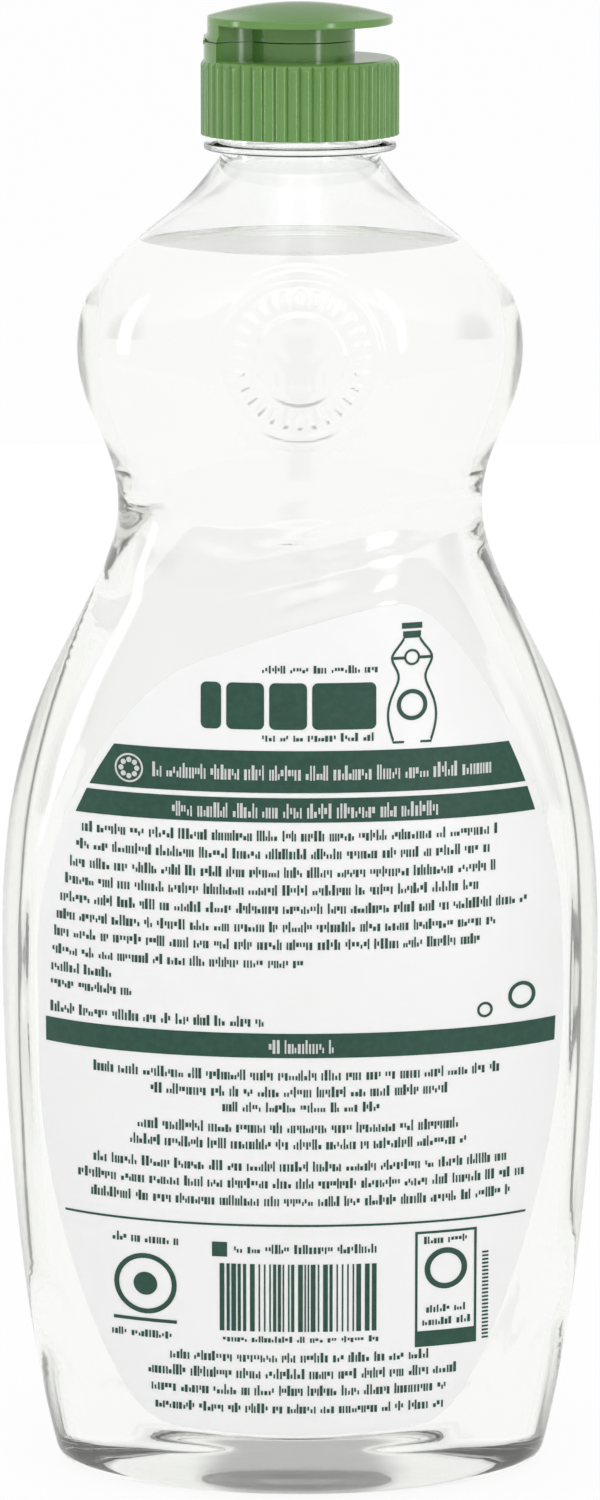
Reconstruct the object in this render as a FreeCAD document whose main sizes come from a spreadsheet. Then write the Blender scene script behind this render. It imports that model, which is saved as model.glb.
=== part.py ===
import FreeCAD, Part
import math
import os
import re

import Sketcher

# A waisted dish soap bottle with its filling, two film labels and a flip-top screw cap.
# Millimetres, +Z up, origin at the centre of the base. The back label faces -Y and the lid's hinge is at -X.

doc = FreeCAD.newDocument("dish_soap_bottle")
sheet = doc.addObject("Spreadsheet::Sheet", "sizes")

SIZES = {
    # Blown body: wall, heel and the raised middle of the base
    "wall": 0.7,
    "heel_radius": 3.2,
    "push_up": 3.0,
    "push_up_half_width": 29.0,
    "push_up_half_depth": 15.5,
    "push_up_crown": 14.0,
    # Sunk panels for the labels, and the round medallion on the shoulder
    "recess": 0.45,
    "panel_margin": 1.0,
    "medallion_radius": 14.8,
    "medallion_height": 182.4,
    # Neck finish with its transfer bead and thread
    "neck_radius": 12.55,
    "neck_wall": 1.75,
    "bead_rise": 1.0,
    "bead_thickness": 1.2,
    "bead_radius": 15.15,
    "finish_length": 10.2,
    "edge_round": 0.3,
    "thread_pitch": 4.233,
    "thread_turns": 1.5,
    "thread_depth": 1.2,
    "thread_root": 2.3,
    "thread_crest": 0.8,
    "thread_drop": 2.4,
    # Filling
    "fill_height": 197.5,
    "fill_clearance": 0.05,
    # Labels: film, the glue line behind it, and the ink on it
    "film": 0.12,
    "glue_line": 0.03,
    "ink": 0.06,
    "print_margin": 1.2,
    "front_label_inset": 16.0,
    # Foam washer under the cap
    "liner_radius": 13.5,
    "liner_hole_radius": 9.0,
    "liner_thickness": 1.2,
    # Cap
    "cap_bead_gap": 1.2,
    "cap_radius": 15.6,
    "cap_bore_radius": 13.95,
    "rib_count": 48,
    "rib_depth": 0.5,
    "deck_thickness": 1.8,
    "deck_radius": 14.3,
    "deck_round": 1.2,
    "turret_radius": 8.65,
    "turret_wall": 1.2,
    "turret_height": 2.74,
    "spout_bore_radius": 2.0,
    "spout_radius": 3.2,
    "spout_rise": 2.8,
    "cap_thread_clearance": 0.3,
    "cap_thread_turns": 1.2,
    "cap_thread_root": 1.5,
    "cap_thread_crest": 0.7,
    # Lid
    "parting_gap": 0.16,
    "column_height": 2.53,
    "lid_radius": 14.55,
    "lid_rim": 1.2,
    "lid_crown": 2.15,
    "lid_top_wall": 2.0,
    "plug_radius": 1.85,
    "plug_tip_radius": 1.4,
    "plug_depth": 2.1,
    # Hinge block, which flares from the turret out to the hinge line
    "hinge_radius": 15.1,
    "hinge_half_width": 7.6,
    "hinge_root_half_width": 4.4,
    "hinge_chamfer": 1.1,
}

# The body's sections, each an ellipse: height, half-width, half-depth, and how far the wall leans, which is its
# horizontal thickness over its true one.
STATIONS = {
    "foot": (0.0, 38.8, 24.0, 1.0),
    "heel": (9.6, 41.0, 25.1, 1.0),
    "hip": (34.6, 44.9, 26.8, 1.0),
    "belly": (82.0, 47.7, 28.5, 1.0),
    "chest": (107.0, 46.3, 27.4, 1.05),
    "flank": (128.9, 39.9, 24.9, 1.1),
    "under_waist": (143.0, 32.8, 23.3, 1.1),
    "waist": (155.5, 28.9, 22.7, 1.0),
    "over_waist": (165.0, 30.4, 23.3, 1.1),
    "under_shoulder": (173.0, 33.7, 24.8, 1.05),
    "shoulder": (182.0, 35.2, 26.1, 1.0),
    "over_shoulder": (190.0, 33.3, 25.9, 1.15),
    "collar": (197.6, 26.8, 23.6, 1.4),
    "cone": (204.7, 18.3, 17.8, 1.6),
    "neck_base": (211.7, 12.55, 12.55, 1.0),
}

# The label's outline on the face of the bottle, as corners and a point on the arc that follows each.
LABEL_CORNERS = {
    "top_left": (-20.8, 132.6),
    "top_right": (18.4, 144.4),
    "widest_right": (41.7, 88.0),
    "bottom_right": (23.6, 12.0),
    "bottom_left": (-25.0, 12.0),
    "widest_left": (-41.3, 78.0),
}
LABEL_ARCS = {
    "top": (-2.0, 139.7),
    "upper_right": (34.0, 121.5),
    "lower_right": (37.6, 47.5),
    "bottom": (0.0, 10.7),
    "lower_left": (-37.3, 40.5),
    "upper_left": (-35.3, 113.0),
}

# Printed stripes that run right across the label: lower edge and height.
BACK_STRIPES = {
    "headline_stripe": (114.7, 6.5),
    "second_stripe": (110.1, 3.8),
    "middle_stripe": (72.8, 3.9),
    "lower_rule": (45.3, 0.35),
}
FRONT_STRIPES = {
    "front_top_stripe": (102.0, 4.0),
    "front_low_stripe": (48.0, 2.5),
}

for station, (height, half_width, half_depth, lean) in STATIONS.items():
    if station != "neck_base":
        SIZES[station + "_half_width"] = half_width
        SIZES[station + "_half_depth"] = half_depth
    if station != "foot":
        SIZES[station + "_height"] = height
    SIZES[station + "_lean"] = lean
for corner, (across, up) in list(LABEL_CORNERS.items()) + list(LABEL_ARCS.items()):
    SIZES["label_" + corner + "_across"] = across
    SIZES["label_" + corner + "_up"] = up
for stripe, (low, tall) in {**BACK_STRIPES, **FRONT_STRIPES}.items():
    SIZES[stripe + "_low"] = low
    SIZES[stripe + "_tall"] = tall

for row, (alias, value) in enumerate(SIZES.items(), start=1):
    sheet.set(f"A{row}", alias)
    sheet.set(f"B{row}", str(value))
    sheet.setAlias(f"B{row}", alias)
doc.recompute()


def named(expression):
    """Writes each size's name in an expression as its cell in the sheet."""
    return re.sub(r"[a-z_]+", lambda word: "sizes." * (word[0] in SIZES) + word[0], expression)


def value_of(expression):
    return float(sheet.evalExpression(named(expression)))


def bind(thing, **expressions):
    for prop, expression in expressions.items():
        thing.setExpression(prop.replace("__", "."), named(expression))


# Heights that several pieces share, each worked out from the sizes
BEAD_LOW = "neck_base_height + bead_rise"
BEAD_TOP = BEAD_LOW + " + bead_thickness"
MOUTH = BEAD_TOP + " + finish_length"
CAP_LOW = BEAD_TOP + " + cap_bead_gap"
LINER_TOP = MOUTH + " + liner_thickness"
DECK = LINER_TOP + " + deck_thickness"
PARTING = DECK + " + turret_height"
DISC_LOW = PARTING + " + column_height"
RIM_TOP = DISC_LOW + " + lid_rim"
LID_TOP = RIM_TOP + " + lid_crown"
HOLLOW_RADIUS = "turret_radius - turret_wall"


# Sketches


def new_sketch(body, name, plane, height="0"):
    """A sketch on one of the body's own planes, moved up by height where it lies flat."""
    flat = [feature for feature in body.Origin.OriginFeatures if feature.Role == plane][0]
    sketch = body.newObject("Sketcher::SketchObject", name)
    sketch.AttachmentSupport = [(flat, "")]
    sketch.MapMode = "FlatFace"
    if height != "0":
        bind(sketch, AttachmentOffset__Base__z=height)
    return sketch


def pins(geometry, point, across, up):
    """What fixes one point of a sketch at two expressions: pairs of a constraint and the expression that sizes it."""
    pairs = []
    for kind, axis, expression in (("DistanceX", -2, across), ("DistanceY", -1, up)):
        if expression == "0":
            pairs.append((Sketcher.Constraint("PointOnObject", geometry, point, axis), None))
        else:
            size = value_of(expression)
            pairs.append((Sketcher.Constraint(kind, -1, 1, geometry, point, size), expression))
    return pairs


def arc_through(start, middle, end):
    """An arc of a circle through three points, and which of its ends lies at start."""
    centre = Part.Circle(start, middle, end).Center
    circle = Part.Circle(centre, FreeCAD.Vector(0, 0, 1), (start - centre).Length)
    leftward = (middle - start).cross(end - middle).z > 0
    first, last = (start, end) if leftward else (end, start)
    angles = [math.atan2(spot.y - centre.y, spot.x - centre.x) for spot in (first, last)]
    if angles[1] < angles[0]:
        angles[1] += 2 * math.pi
    return Part.ArcOfCircle(circle, *angles), 1 if leftward else 2


def draw_outline(sketch, corners, arcs=None):
    """A closed outline. Corners are pairs of expressions; arcs maps a corner's number to a point on the arc after it."""
    arcs = arcs or {}
    spots = [FreeCAD.Vector(value_of(across), value_of(up), 0) for across, up in corners]
    ends, pairs = [], []
    for index, start in enumerate(spots):
        end = spots[(index + 1) % len(spots)]
        if index in arcs:
            middle = FreeCAD.Vector(value_of(arcs[index][0]), value_of(arcs[index][1]), 0)
            arc, first = arc_through(start, middle, end)
            side = sketch.addGeometry(arc, False)
            point = sketch.addGeometry(Part.Point(middle), True)
            pairs += pins(point, 1, *arcs[index])
            pairs.append((Sketcher.Constraint("PointOnObject", point, 1, side), None))
            ends.append((side, first, 3 - first))
        else:
            ends.append((sketch.addGeometry(Part.LineSegment(start, end), False), 1, 2))
    for index, corner in enumerate(corners):
        side, first, _ = ends[index]
        before, _, last = ends[index - 1]
        pairs.append((Sketcher.Constraint("Coincident", before, last, side, first), None))
        pairs += pins(side, first, *corner)
    sketch.addConstraint([constraint for constraint, _ in pairs])
    for index, (_, expression) in enumerate(pairs):
        if expression:
            bind(sketch, **{f"Constraints[{index}]": expression})


def revolve(body, name, corners, arcs=None, kind="Revolution"):
    """Turns an outline in the XZ plane round the Z axis, to add or, as a Groove, to cut."""
    sketch = new_sketch(body, name + "_outline", "XZ_Plane")
    draw_outline(sketch, corners, arcs)
    turned = body.newObject("PartDesign::" + kind, name)
    turned.Profile = sketch
    turned.ReferenceAxis = (sketch, ["V_Axis"])
    turned.Angle = 360
    return turned


def new_body(label):
    body = doc.addObject("PartDesign::Body", label + "_body")
    body.Label = label + "_body"
    return body


def circle_edges(shape, radius, height):
    """The names of a shape's round edges of one radius at one height."""
    found = []
    for number, edge in enumerate(shape.Edges, start=1):
        box = edge.BoundBox
        flat = abs(box.ZMin - height) < 1e-4 and abs(box.ZMax - height) < 1e-4
        if flat and abs(box.XMax - radius) < 1e-4 and abs(box.YMax - radius) < 1e-4:
            found.append(f"Edge{number}")
    return found


def round_edges(body, name, places, radius):
    """Rounds the circular edges at each (radius, height) pair of expressions."""
    doc.recompute()
    base = body.Tip
    edges = []
    for across, up in places:
        edges += circle_edges(base.Shape, value_of(across), value_of(up))
    rounded = body.newObject("PartDesign::Fillet", name)
    rounded.Base = (base, edges)
    bind(rounded, Radius=radius)
    return rounded


def ridge(body, name, centre, turns, inner, outer, root, crest):
    """A helical thread ridge: where it starts, its turns, the radii of its foot and tip, and its widths there."""
    sketch = new_sketch(body, name + "_outline", "XZ_Plane")
    corners = [
        (inner, f"{centre} - ( {root} ) / 2"),
        (outer, f"{centre} - ( {crest} ) / 2"),
        (outer, f"{centre} + ( {crest} ) / 2"),
        (inner, f"{centre} + ( {root} ) / 2"),
    ]
    draw_outline(sketch, corners)
    helix = body.newObject("PartDesign::AdditiveHelix", name)
    helix.Profile = sketch
    helix.ReferenceAxis = (sketch, ["V_Axis"])
    helix.Mode = "pitch-height-angle"
    bind(helix, Pitch="thread_pitch", Height=f"thread_pitch * {turns}")
    return helix


# Body of the bottle: nested forms, each a given distance inside the outer face


def station_height(station, inset):
    if station == "foot":
        return inset
    if station == "neck_base":
        return "neck_base_height"
    return station + "_height"


def form(name, inset):
    """The body's solid form, drawn in by inset, which is an expression."""
    sections = []
    for station in STATIONS:
        section = doc.addObject("Part::Ellipse", f"{name}_{station}")
        bind(section, Placement__Base__z=station_height(station, inset))
        if station == "neck_base":
            radius = f"neck_radius - ( {inset} ) * neck_wall / wall"
            bind(section, MajorRadius=radius, MinorRadius=radius)
        else:
            shrink = f" - ( {inset} ) * {station}_lean"
            bind(section, MajorRadius=f"{station}_half_width" + shrink)
            bind(section, MinorRadius=f"{station}_half_depth" + shrink)
        sections.append(section)
    loft = doc.addObject("Part::Loft", name)
    loft.Sections = sections
    loft.Solid = True
    return loft


def combine(kind, name, base, tool):
    joined = doc.addObject("Part::" + kind, name)
    joined.Base = base
    joined.Tool = tool
    return joined


def base_dome(name, inset):
    """The raised middle of the base, an ellipsoid that rises push_up above the standing ring."""
    dome = doc.addObject("Part::Ellipsoid", name)
    spread = "sqrt( 1 - ( ( push_up_crown - push_up ) / push_up_crown ) ^ 2 )"
    bind(dome, Radius1=f"push_up_crown + ( {inset} )")
    bind(dome, Radius2=f"push_up_half_width / {spread} + ( {inset} )")
    bind(dome, Radius3=f"push_up_half_depth / {spread} + ( {inset} )")
    bind(dome, Placement__Base__z="push_up - push_up_crown")
    return dome


def vessel(name, inset, sunk):
    """The body drawn in by inset, with its rounded heel, raised base and sunk panels."""
    plain = form(name + "_plain", inset)
    doc.recompute()
    rounded = doc.addObject("Part::Fillet", name + "_heeled")
    rounded.Base = plain
    radius = value_of(f"heel_radius - ( {inset} )")
    level = value_of(inset)
    rounded.Edges = [
        (number, radius, radius)
        for number, edge in enumerate(plain.Shape.Edges, start=1)
        if abs(edge.BoundBox.ZMax - level) < 1e-4
    ]
    domed = combine("Cut", name + "_domed", rounded, base_dome(name + "_dome", inset))
    inner = form(name + "_inner", f"{inset} + recess")
    facing = combine("Common", name + "_facing", domed, sunk)
    patch = combine("Cut", name + "_patch", facing, inner)
    return combine("Cut", name, domed, patch)


def label_wire():
    """The label's outline as a closed sketch in the XZ plane."""
    sketch = doc.addObject("Sketcher::SketchObject", "label_outline")
    sketch.Placement = FreeCAD.Placement(
        FreeCAD.Vector(0, 0, 0), FreeCAD.Rotation(FreeCAD.Vector(1, 0, 0), 90)
    )
    corners = [(f"label_{name}_across", f"label_{name}_up") for name in LABEL_CORNERS]
    arcs = {
        index: (f"label_{name}_across", f"label_{name}_up")
        for index, name in enumerate(LABEL_ARCS)
    }
    draw_outline(sketch, corners, arcs)
    return sketch


REACH = "belly_half_depth + 5"


def through_block(name, wire, offset=None):
    """A block through the bottle along Y, with the wire's outline, which offset can grow or shrink."""
    block = doc.addObject("Part::Extrusion", name)
    block.Base = wire
    if offset:
        block.Base = doc.addObject("Part::Offset2D", name + "_outline")
        block.Base.Source = wire
        bind(block.Base, Value=offset)
    block.DirMode = "Custom"
    block.Dir = FreeCAD.Vector(0, -1, 0)
    block.Solid = True
    bind(block, LengthFwd=REACH, LengthRev=REACH)
    return block


outline = label_wire()
panel = through_block("panel_block", outline, "panel_margin")
medallion = doc.addObject("Part::Cylinder", "medallion_block")
medallion.Placement.Rotation = FreeCAD.Rotation(FreeCAD.Vector(1, 0, 0), 90)
bind(medallion, Radius="medallion_radius", Height=REACH, Placement__Base__z="medallion_height")
sunk_places = combine("Fuse", "sunk_places", panel, medallion)

outside = vessel("outside", "0", sunk_places)
inside = vessel("inside", "wall", sunk_places)

# Neck finish

finish = new_body("neck_finish")
revolve(
    finish,
    "finish",
    [
        ("neck_radius - neck_wall", "neck_base_height"),
        ("neck_radius", "neck_base_height"),
        ("neck_radius", BEAD_LOW),
        ("bead_radius", BEAD_LOW),
        ("bead_radius", BEAD_TOP),
        ("neck_radius", BEAD_TOP),
        ("neck_radius", MOUTH),
        ("neck_radius - neck_wall", MOUTH),
    ],
)
round_edges(
    finish,
    "finish_rounding",
    [
        ("bead_radius", BEAD_LOW),
        ("bead_radius", BEAD_TOP),
        ("neck_radius", MOUTH),
        ("neck_radius - neck_wall", MOUTH),
    ],
    "edge_round",
)
THREAD_LOW = f"{MOUTH} - thread_drop - thread_pitch * thread_turns"
ridge(
    finish,
    "neck_thread",
    THREAD_LOW,
    "thread_turns",
    "neck_radius - thread_depth / 6",
    "neck_radius + thread_depth",
    "thread_root",
    "thread_crest",
)

walls = combine("Cut", "walls", outside, inside)
bottle = combine("Fuse", "bottle", walls, finish)

# Filling

filling = vessel("filling", "wall + fill_clearance", sunk_places)
below_surface = doc.addObject("Part::Box", "below_surface")
bind(
    below_surface,
    Length="4 * belly_half_width",
    Width="4 * belly_half_depth",
    Height="fill_height",
    Placement__Base__x="-2 * belly_half_width",
    Placement__Base__y="-2 * belly_half_depth",
)
liquid = combine("Common", "liquid_soap", filling, below_surface)

# Labels and their print, which lie in the sunk panels

FILM_BACK = "recess - glue_line"
FILM_FACE = FILM_BACK + " - film"
INK_FACE = FILM_FACE + " - ink"
film_back = form("film_back", FILM_BACK)
film_face = form("film_face", FILM_FACE)
ink_face = form("ink_face", INK_FACE)
film_layer = combine("Cut", "film_layer", film_face, film_back)
ink_layer = combine("Cut", "ink_layer", ink_face, film_face)


def half_block(name, sign):
    """Half of the label's block, on the back (-1) or the front (1) of the bottle."""
    half = doc.addObject("Part::Box", name + "_half")
    bind(
        half,
        Length="4 * belly_half_width",
        Width=REACH,
        Height="neck_base_height",
        Placement__Base__x="-2 * belly_half_width",
    )
    if sign < 0:
        bind(half, Placement__Base__y=f"-( {REACH} )")
    return half


def stripe_box(name):
    stripe = doc.addObject("Part::Box", name)
    bind(
        stripe,
        Length="4 * belly_half_width",
        Width="4 * belly_half_depth",
        Height=f"{name}_tall",
        Placement__Base__x="-2 * belly_half_width",
        Placement__Base__y="-2 * belly_half_depth",
        Placement__Base__z=f"{name}_low",
    )
    return stripe


def label_and_print(side, sign, inset, stripe_names):
    """One side's film and the stripes printed on it, drawn in by inset from the panel's outline."""
    half = half_block(side, sign)
    block = through_block(side + "_block", outline, f"-{inset}" if inset else None)
    print_block = through_block(side + "_print_block", outline, f"-( {inset or 0} + print_margin )")
    stripes = doc.addObject("Part::Compound", side + "_stripes")
    stripes.Links = [stripe_box(name) for name in stripe_names]
    film = combine("Common", side + "_film", film_layer, block)
    ink = combine("Common", side + "_ink", ink_layer, print_block)
    striped = combine("Common", side + "_striped", ink, stripes)
    label = combine("Common", side + "_label", film, half)
    return label, combine("Common", side + "_label_print", striped, half)


back_label, back_print = label_and_print("back", -1, None, BACK_STRIPES)
front_label, front_print = label_and_print("front", 1, "front_label_inset", FRONT_STRIPES)

# Foam washer between the mouth and the cap

liner_body = new_body("cap_liner")
revolve(
    liner_body,
    "liner_ring",
    [
        ("liner_hole_radius", MOUTH),
        ("liner_radius", MOUTH),
        ("liner_radius", LINER_TOP),
        ("liner_hole_radius", LINER_TOP),
    ],
)


def hinge_outline(sketch):
    """The hinge block's plan: it flares in two hollow curves from the turret to the hinge line."""
    wall_middle = "( turret_radius - turret_wall / 2 )"
    root = f"-sqrt( {wall_middle} ^ 2 - hinge_root_half_width ^ 2 )"
    tip = "-sqrt( hinge_radius ^ 2 - hinge_half_width ^ 2 )"
    side_across = f"( {root} + {tip} ) / 2"
    side_out = "( hinge_root_half_width * 0.75 + hinge_half_width * 0.25 )"
    corners = [
        (root, "hinge_root_half_width"),
        (tip, "hinge_half_width"),
        (tip, "-hinge_half_width"),
        (root, "-hinge_root_half_width"),
    ]
    arcs = {
        0: (side_across, side_out),
        1: ("-hinge_radius", "0"),
        2: (side_across, "-" + side_out),
        3: ("-" + wall_middle, "0"),
    }
    draw_outline(sketch, corners, arcs)


def hinge_block(body, name, low, top):
    sketch = new_sketch(body, name + "_outline", "XY_Plane", low)
    hinge_outline(sketch)
    block = body.newObject("PartDesign::Pad", name)
    block.Profile = sketch
    bind(block, Length=f"{top} - ( {low} )")
    return block


# Screw cap

cap = new_body("cap")
CAP_TOP = f"{PARTING} - parting_gap / 2"


def ribbed_skirt():
    """The cap's outside, up to its deck: rounded ribs side by side, with a narrow groove between each two."""
    crest, groove = value_of("cap_radius"), value_of("cap_radius - rib_depth")
    low, count = value_of(CAP_LOW), round(value_of("rib_count"))

    def spot(radius, step):
        turn = 2 * math.pi * step / count
        return FreeCAD.Vector(radius * math.cos(turn), radius * math.sin(turn), low)

    ribs = [
        Part.Arc(spot(groove, rib), spot(crest, rib + 0.5), spot(groove, rib + 1)).toShape()
        for rib in range(count)
    ]
    plan = Part.Face(Part.Wire(ribs))
    skirt = doc.addObject("Part::Feature", "ribbed_skirt")
    skirt.Shape = plan.extrude(FreeCAD.Vector(0, 0, value_of(DECK) - low))
    return skirt


cap.BaseFeature = ribbed_skirt()
RIB_TOP = f"{DECK} - deck_round"
revolve(
    cap,
    "deck_rounding",
    [
        ("cap_radius", RIB_TOP),
        ("cap_radius + 1", RIB_TOP),
        ("cap_radius + 1", f"{DECK} + 1"),
        ("deck_radius", f"{DECK} + 1"),
        ("deck_radius", DECK),
    ],
    {4: ("deck_radius * 0.3 + cap_radius * 0.7", f"{DECK} - deck_round * 0.3")},
    kind="Groove",
)
revolve(
    cap,
    "turret",
    [
        ("0", f"{DECK} - deck_thickness / 2"),
        ("turret_radius", f"{DECK} - deck_thickness / 2"),
        ("turret_radius", CAP_TOP),
        ("spout_radius", CAP_TOP),
        ("spout_radius", f"{PARTING} + spout_rise"),
        ("0", f"{PARTING} + spout_rise"),
    ],
)
hinge_block(cap, "cap_hinge_block", RIB_TOP, CAP_TOP)
round_edges(cap, "spout_rounding", [("spout_radius", f"{PARTING} + spout_rise")], "edge_round")
revolve(
    cap,
    "cap_inside",
    [
        ("0", f"{CAP_LOW} - 1"),
        ("cap_bore_radius", f"{CAP_LOW} - 1"),
        ("cap_bore_radius", LINER_TOP),
        (HOLLOW_RADIUS, LINER_TOP),
        (HOLLOW_RADIUS, f"{CAP_TOP} - turret_wall"),
        ("spout_bore_radius", f"{CAP_TOP} - turret_wall"),
        ("spout_bore_radius", f"{PARTING} + spout_rise + 1"),
        ("0", f"{PARTING} + spout_rise + 1"),
    ],
    kind="Groove",
)
ridge(
    cap,
    "cap_thread",
    f"{THREAD_LOW} + thread_pitch / 2",
    "cap_thread_turns",
    "cap_bore_radius + rib_depth / 2",
    "neck_radius + cap_thread_clearance",
    "cap_thread_root",
    "cap_thread_crest",
)

# Flip lid

lid = new_body("flip_lid")
LID_LOW = f"{PARTING} + parting_gap / 2"
CEILING = f"{LID_TOP} - lid_top_wall"
revolve(
    lid,
    "lid_shell",
    [
        ("0", f"{PARTING} + spout_rise - plug_depth"),
        ("plug_tip_radius", f"{PARTING} + spout_rise - plug_depth"),
        ("plug_radius", CEILING),
        (HOLLOW_RADIUS, CEILING),
        (HOLLOW_RADIUS, LID_LOW),
        ("turret_radius", LID_LOW),
        ("turret_radius", DISC_LOW),
        ("lid_radius", DISC_LOW),
        ("lid_radius", RIM_TOP),
        ("0", LID_TOP),
    ],
    {8: ("lid_radius / 2", f"{RIM_TOP} + lid_crown * 0.7515")},
)
round_edges(
    lid,
    "rim_rounding",
    [("lid_radius", DISC_LOW), ("lid_radius", RIM_TOP)],
    "edge_round",
)
hinge_block(lid, "lid_hinge_block", LID_LOW, f"{DISC_LOW} + lid_rim / 2")
revolve(
    lid,
    "hinge_chamfer_cut",
    [
        ("hinge_radius", LID_LOW),
        ("hinge_radius + 1", LID_LOW),
        ("hinge_radius + 1", RIM_TOP),
        ("lid_radius", RIM_TOP),
        ("lid_radius", f"{LID_LOW} + hinge_chamfer"),
    ],
    kind="Groove",
)

# Check the whole document, then write each piece

doc.recompute()
PIECES = {
    "bottle": bottle,
    "liquid_soap": liquid,
    "back_label": back_label,
    "back_label_print": back_print,
    "front_label": front_label,
    "front_label_print": front_print,
    "cap_liner": liner_body,
    "cap": cap,
    "flip_lid": lid,
}
for thing in doc.Objects:
    if "Invalid" in thing.State or "Error" in thing.State:
        raise RuntimeError(f"{thing.Name} failed: {thing.State}")
os.makedirs("parts", exist_ok=True)
for node, piece in PIECES.items():
    shape = piece.Shape
    if shape.isNull() or not shape.isValid():
        raise RuntimeError(f"{node} has no valid shape")
    piece.Label = node
    shape.exportStep(f"parts/{node}.step")
    print(f"{node}: {len(shape.Solids)} solids, {shape.Volume:.1f} mm3, {len(shape.Faces)} faces")
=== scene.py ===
import math
import random

import bmesh
import bpy
import numpy as np
from mathutils import Matrix, Vector


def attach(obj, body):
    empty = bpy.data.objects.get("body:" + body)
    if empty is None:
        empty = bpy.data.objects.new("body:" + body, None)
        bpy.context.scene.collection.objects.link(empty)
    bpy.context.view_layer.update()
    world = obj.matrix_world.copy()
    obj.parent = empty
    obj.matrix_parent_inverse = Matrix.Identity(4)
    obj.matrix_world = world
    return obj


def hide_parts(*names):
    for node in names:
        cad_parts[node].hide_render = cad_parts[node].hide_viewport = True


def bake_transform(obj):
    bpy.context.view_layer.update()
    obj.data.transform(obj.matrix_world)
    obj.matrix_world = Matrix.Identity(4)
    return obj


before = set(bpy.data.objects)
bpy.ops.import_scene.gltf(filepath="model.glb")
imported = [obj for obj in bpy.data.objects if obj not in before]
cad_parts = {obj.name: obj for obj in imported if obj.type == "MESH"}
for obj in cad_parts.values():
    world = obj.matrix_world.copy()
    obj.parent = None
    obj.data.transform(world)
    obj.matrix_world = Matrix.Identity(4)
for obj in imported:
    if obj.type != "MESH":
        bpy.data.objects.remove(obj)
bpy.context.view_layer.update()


# ---------------------------------------------------------------- bottle
# The bottle is one shell of clear polyester: an injection-moulded neck with
# its bead and thread, and a body blown below it into a flat oval with a
# narrow waist, sunk label panels, a shoulder medallion and a raised base.

SHELL_STATIONS = (  # height, half width, half depth in millimetres
    (0.0, 38.8, 24.0),
    (9.6, 41.0, 25.1),
    (34.6, 44.9, 26.8),
    (82.0, 47.7, 28.5),
    (107.0, 46.3, 27.4),
    (128.9, 39.9, 24.9),
    (143.0, 32.8, 23.3),
    (155.5, 28.9, 22.7),
    (165.0, 30.4, 23.3),
    (173.0, 33.7, 24.8),
    (182.0, 35.2, 26.1),
    (190.0, 33.3, 25.9),
    (197.6, 26.8, 23.6),
    (204.7, 18.3, 17.8),
    (211.7, 12.55, 12.55),
)
SHELL_WALL = 0.7
HEEL_RADIUS = 3.2
BASE_RISE = 3.0
BASE_CROWN = 14.0
BASE_OVAL = (29.0, 15.5)
NECK_FINISH = (  # height and radius down the outside, over the lip and inside
    (212.55, 12.55), (212.68, 12.8), (212.72, 14.7), (212.85, 15.02), (213.05, 15.15),
    (213.55, 15.15), (213.75, 15.02), (213.88, 14.7), (213.92, 12.8), (214.05, 12.55),
    (216.5, 12.55), (219.0, 12.55), (221.5, 12.55), (223.6, 12.55), (223.93, 12.48),
    (224.07, 12.32), (224.1, 12.1), (224.1, 11.25), (224.07, 11.03), (223.93, 10.87),
    (223.6, 10.8), (220.0, 10.8), (216.0, 10.8), (213.0, 10.8),
)
PANEL_CORNERS = (
    (-20.8, 132.6), (18.4, 144.4), (41.7, 88.0), (23.6, 12.0), (-25.0, 12.0), (-41.3, 78.0),
)
PANEL_MIDDLES = (
    (-2.0, 139.7), (34.0, 121.5), (37.6, 47.5), (0.0, 10.7), (-37.3, 40.5), (-35.3, 113.0),
)
PANEL_DEPTH = 0.45
MEDALLION_HEIGHT = 182.4
MEDALLION_RADIUS = 14.8
WAIST_FOLDS = (  # two ends of each fold, then its depth and spread
    ((-10.0, 150.0), (17.0, 155.6), 0.75, 2.0),
    ((-12.0, 144.2), (19.0, 151.7), 0.8, 2.0),
    ((-24.0, 146.0), (-15.0, 158.0), 0.5, 2.6),
)
MEDALLION_RINGS = (12.4, 6.6)
MEDALLION_RELIEF = 0.22
MEDALLION_TICKS = 28
NECK_START = 211.7
NECK_RADIUS = 12.55
NECK_BORE = 10.8
THREAD_PITCH = 4.233
THREAD_TURNS = 1.5
THREAD_STEPS = 108
THREAD_SECTION = ((12.45, 214.35), (13.75, 215.1), (13.75, 215.9), (12.45, 216.65))
SHELL_SEGMENTS = 176


def batten(heights, values):
    """The fair curve of a thin batten that is held at each height."""
    gaps = np.diff(heights)
    pulls = np.eye(len(heights))
    turns = np.zeros(len(heights))
    for i in range(1, len(heights) - 1):
        pulls[i, i - 1:i + 2] = gaps[i - 1], 2 * (gaps[i - 1] + gaps[i]), gaps[i]
        rise = (values[i + 1] - values[i]) / gaps[i]
        turns[i] = 6 * (rise - (values[i] - values[i - 1]) / gaps[i - 1])
    bends = np.linalg.solve(pulls, turns)

    def at(height):
        i = np.clip(np.searchsorted(heights, height) - 1, 0, len(gaps) - 1)
        up, down = height - heights[i], heights[i + 1] - height
        curve = (bends[i] * down**3 + bends[i + 1] * up**3) / (6 * gaps[i])
        low = (values[i] / gaps[i] - bends[i] * gaps[i] / 6) * down
        return curve + low + (values[i + 1] / gaps[i] - bends[i + 1] * gaps[i] / 6) * up

    return at


stations = np.array(SHELL_STATIONS)
half_width = batten(stations[:, 0], stations[:, 1])
half_depth = batten(stations[:, 0], stations[:, 2])


def shell_oval(height, inset):
    """Half width and half depth of the body at a height, drawn in by inset."""
    thicker = np.interp(height, (188.0, 204.7, 211.7), (1.0, 1.6, 2.5))
    return half_width(height) - inset * thicker, half_depth(height) - inset * thicker


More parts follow.
